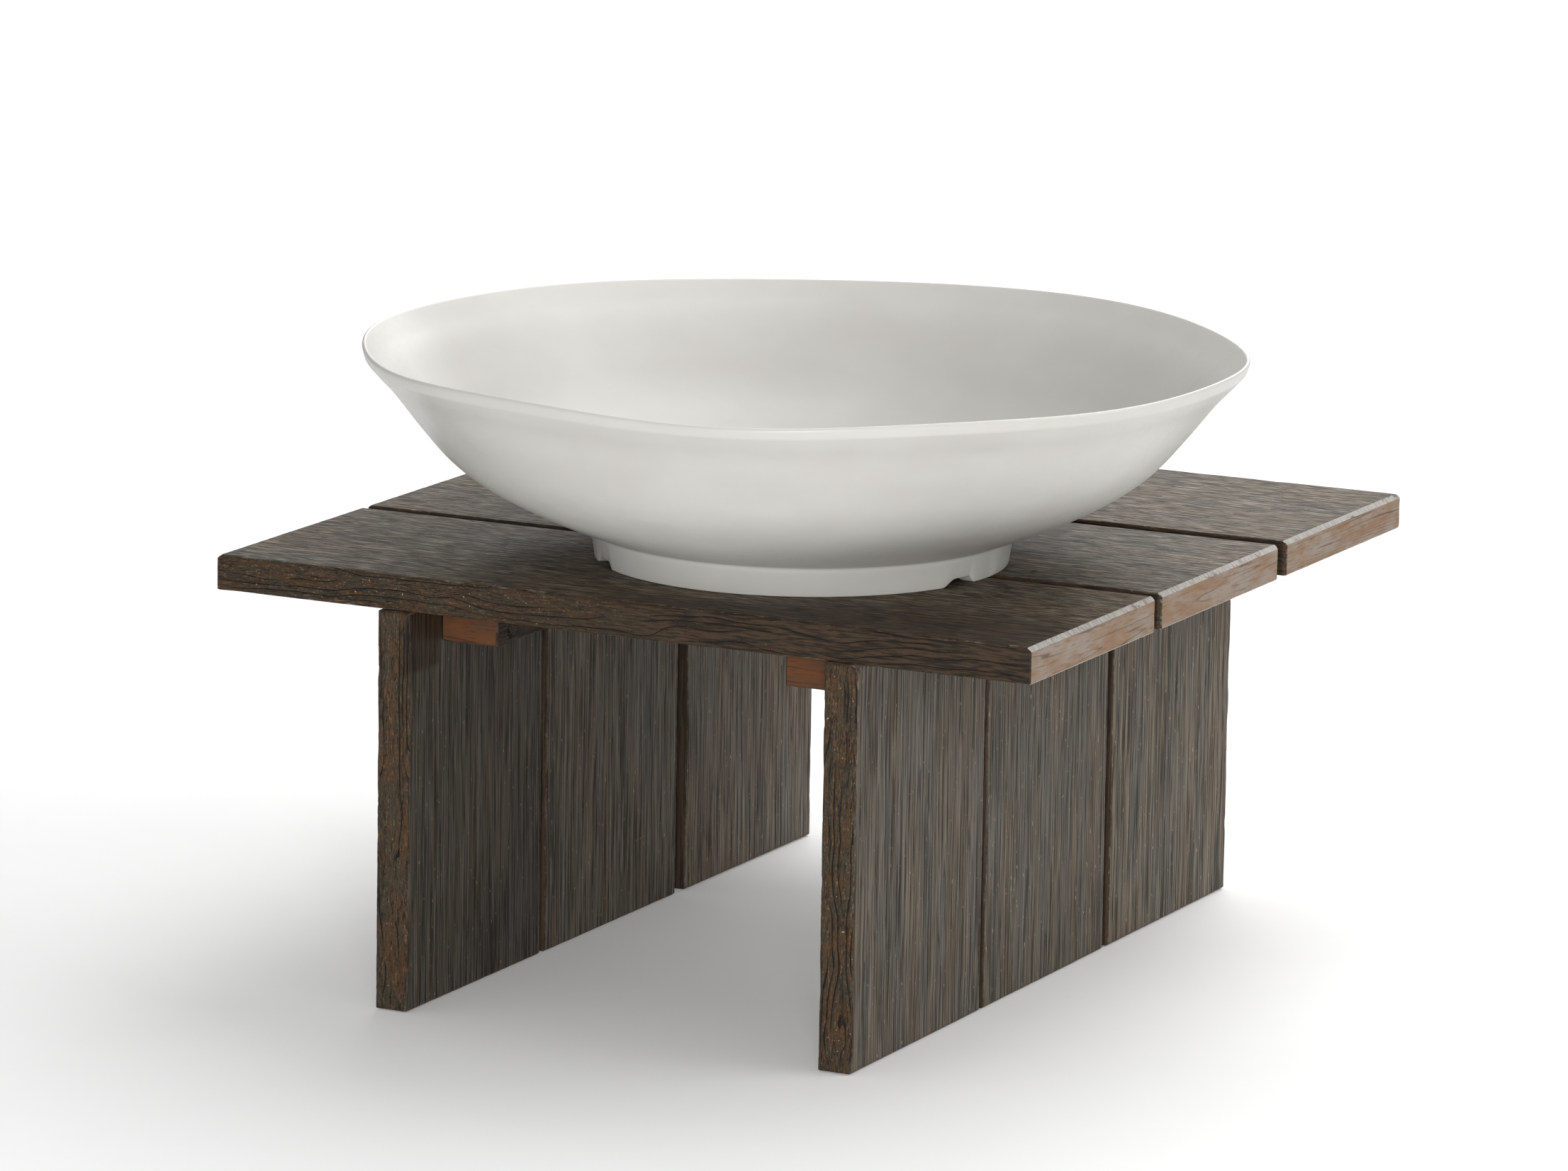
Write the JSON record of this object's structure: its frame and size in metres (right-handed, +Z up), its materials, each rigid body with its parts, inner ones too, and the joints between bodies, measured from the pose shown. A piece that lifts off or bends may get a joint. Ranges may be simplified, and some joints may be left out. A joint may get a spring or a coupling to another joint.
{
  "type": "chip and dip server",
  "caption": "Large round serving bowl with a gently wavy rim, standing on a square plank riser with two panel legs.",
  "frame": {"origin": "on the table, under the middle of the object's bounding box", "axes": "+X along the riser's front edge to the right, +Y from its front to its back, +Z up"},
  "size_m": [0.4842, 0.545, 0.3367],
  "materials": {
    "bowl": "satin off-white melamine",
    "top_wood": "weathered dark brown boards with grey grain",
    "leg_wood": "weathered grey-brown boards",
    "batten_wood": "dark boards with orange-brown end grain",
    "screw_steel": "zinc-plated"
  },
  "bodies": {
    "stand": {"top_plank_front": "top_wood", "top_plank_middle": "top_wood", "top_plank_back": "top_wood", "left_leg_plank_front": "leg_wood", "left_leg_plank_middle": "leg_wood", "left_leg_plank_back": "leg_wood", "right_leg_plank_front": "leg_wood", "right_leg_plank_middle": "leg_wood", "right_leg_plank_back": "leg_wood", "left_batten": "batten_wood", "right_batten": "batten_wood", "left_leg_screw_1": "screw_steel", "left_leg_screw_2": "screw_steel", "left_leg_screw_3": "screw_steel", "left_leg_screw_4": "screw_steel", "left_leg_screw_5": "screw_steel", "left_leg_screw_6": "screw_steel", "left_top_screw_1": "screw_steel", "left_top_screw_2": "screw_steel", "left_top_screw_3": "screw_steel", "left_top_screw_4": "screw_steel", "left_top_screw_5": "screw_steel", "left_top_screw_6": "screw_steel", "right_leg_screw_1": "screw_steel", "right_leg_screw_2": "screw_steel", "right_leg_screw_3": "screw_steel", "right_leg_screw_4": "screw_steel", "right_leg_screw_5": "screw_steel", "right_leg_screw_6": "screw_steel", "right_top_screw_1": "screw_steel", "right_top_screw_2": "screw_steel", "right_top_screw_3": "screw_steel", "right_top_screw_4": "screw_steel", "right_top_screw_5": "screw_steel", "right_top_screw_6": "screw_steel"},
    "bowl": {"bowl": "bowl"}
  },
  "joints": [
    {"name": "bowl_lift", "type": "slide", "parent": "stand", "child": "bowl", "axis": [0, 0, 1], "range_m": [0, 0.2]}
  ]
}
